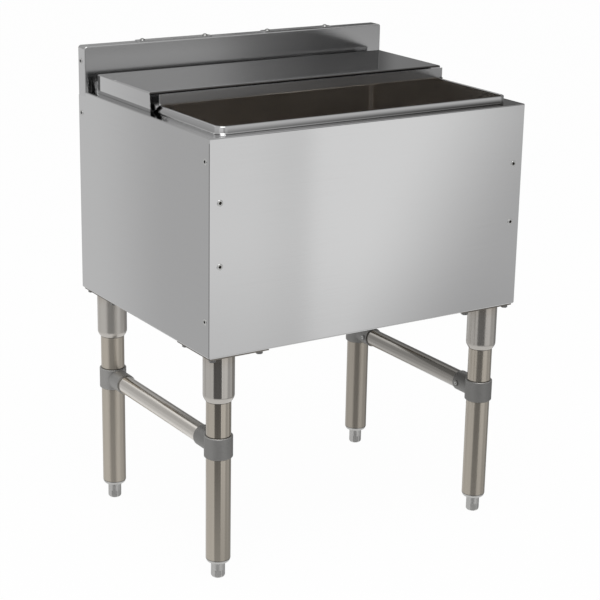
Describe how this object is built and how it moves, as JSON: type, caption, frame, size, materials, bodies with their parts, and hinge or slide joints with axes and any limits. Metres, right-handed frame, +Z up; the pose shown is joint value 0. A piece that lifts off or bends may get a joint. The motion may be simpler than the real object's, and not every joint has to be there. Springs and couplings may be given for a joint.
{
  "type": "underbar ice bin",
  "caption": "Insulated stainless underbar ice bin: a drained tub with a raised rim, low splash, sliding and lift-off covers, on tube legs with side rails and screw feet.",
  "frame": {"origin": "centre of the bin's outline at floor level, under the middle of the cabinet", "axes": "+X to the right of a person who faces the front, -Y out of the front, +Z up"},
  "size_m": [0.6112, 0.4548, 0.8315],
  "materials": {
    "panel_steel": "satin",
    "deck_steel": "satin",
    "cover_steel": "satin",
    "tub_steel": "satin",
    "tube_steel": "satin",
    "cast_alloy": "matte",
    "foot_alloy": "satin",
    "fastener_steel": "satin",
    "foam": "matte",
    "gasket_rubber": "matte"
  },
  "bodies": {
    "cabinet": {"front_panel": "panel_steel", "left_side_panel": "panel_steel", "right_side_panel": "panel_steel", "back_panel": "panel_steel", "bottom_panel": "panel_steel", "top_deck": "deck_steel", "backsplash": "deck_steel", "left_splash_strip": "deck_steel", "right_splash_strip": "deck_steel", "ice_tub": "tub_steel", "drain_flange": "tub_steel", "drain_strainer": "tub_steel", "front_left_gusset": "tube_steel", "front_left_leg": "tube_steel", "front_right_gusset": "tube_steel", "front_right_leg": "tube_steel", "back_left_gusset": "tube_steel", "back_left_leg": "tube_steel", "back_right_gusset": "tube_steel", "back_right_leg": "tube_steel", "left_rail": "tube_steel", "right_rail": "tube_steel", "drain_tailpiece": "tube_steel", "front_left_tee": "cast_alloy", "front_right_tee": "cast_alloy", "back_left_tee": "cast_alloy", "back_right_tee": "cast_alloy", "front_left_plug": "foot_alloy", "front_right_plug": "foot_alloy", "back_left_plug": "foot_alloy", "back_right_plug": "foot_alloy", "splash_rivets": "fastener_steel", "front_inserts": "fastener_steel", "left_inserts": "fastener_steel", "right_inserts": "fastener_steel", "gusset_bolts": "fastener_steel", "gusset_nuts": "fastener_steel", "sleeve_screws": "fastener_steel", "tee_screws": "fastener_steel", "drain_locknut": "fastener_steel", "foam_left": "foam", "foam_right": "foam", "foam_front": "foam", "foam_back": "foam", "foam_bottom": "foam", "drain_gasket": "gasket_rubber"},
    "rear_cover": {"rear_cover": "cover_steel"},
    "sliding_cover": {"sliding_cover": "cover_steel"},
    "front_left_foot": {"front_left_foot": "foot_alloy"},
    "front_right_foot": {"front_right_foot": "foot_alloy"},
    "back_left_foot": {"back_left_foot": "foot_alloy"},
    "back_right_foot": {"back_right_foot": "foot_alloy"}
  },
  "joints": [
    {"name": "sliding_cover_slide", "type": "slide", "parent": "cabinet", "child": "sliding_cover", "axis": [0, -1, 0], "range_m": [0, 0.1865]},
    {"name": "rear_cover_lift", "type": "slide", "parent": "cabinet", "child": "rear_cover", "axis": [0, 0, 1], "range_m": [0, 0.15]},
    {"name": "front_left_foot_adjust", "type": "slide", "parent": "cabinet", "child": "front_left_foot", "axis": [0, 0, -1], "range_m": [0, 0.02]},
    {"name": "front_right_foot_adjust", "type": "slide", "parent": "cabinet", "child": "front_right_foot", "axis": [0, 0, -1], "range_m": [0, 0.02]},
    {"name": "back_left_foot_adjust", "type": "slide", "parent": "cabinet", "child": "back_left_foot", "axis": [0, 0, -1], "range_m": [0, 0.02]},
    {"name": "back_right_foot_adjust", "type": "slide", "parent": "cabinet", "child": "back_right_foot", "axis": [0, 0, -1], "range_m": [0, 0.02]}
  ]
}
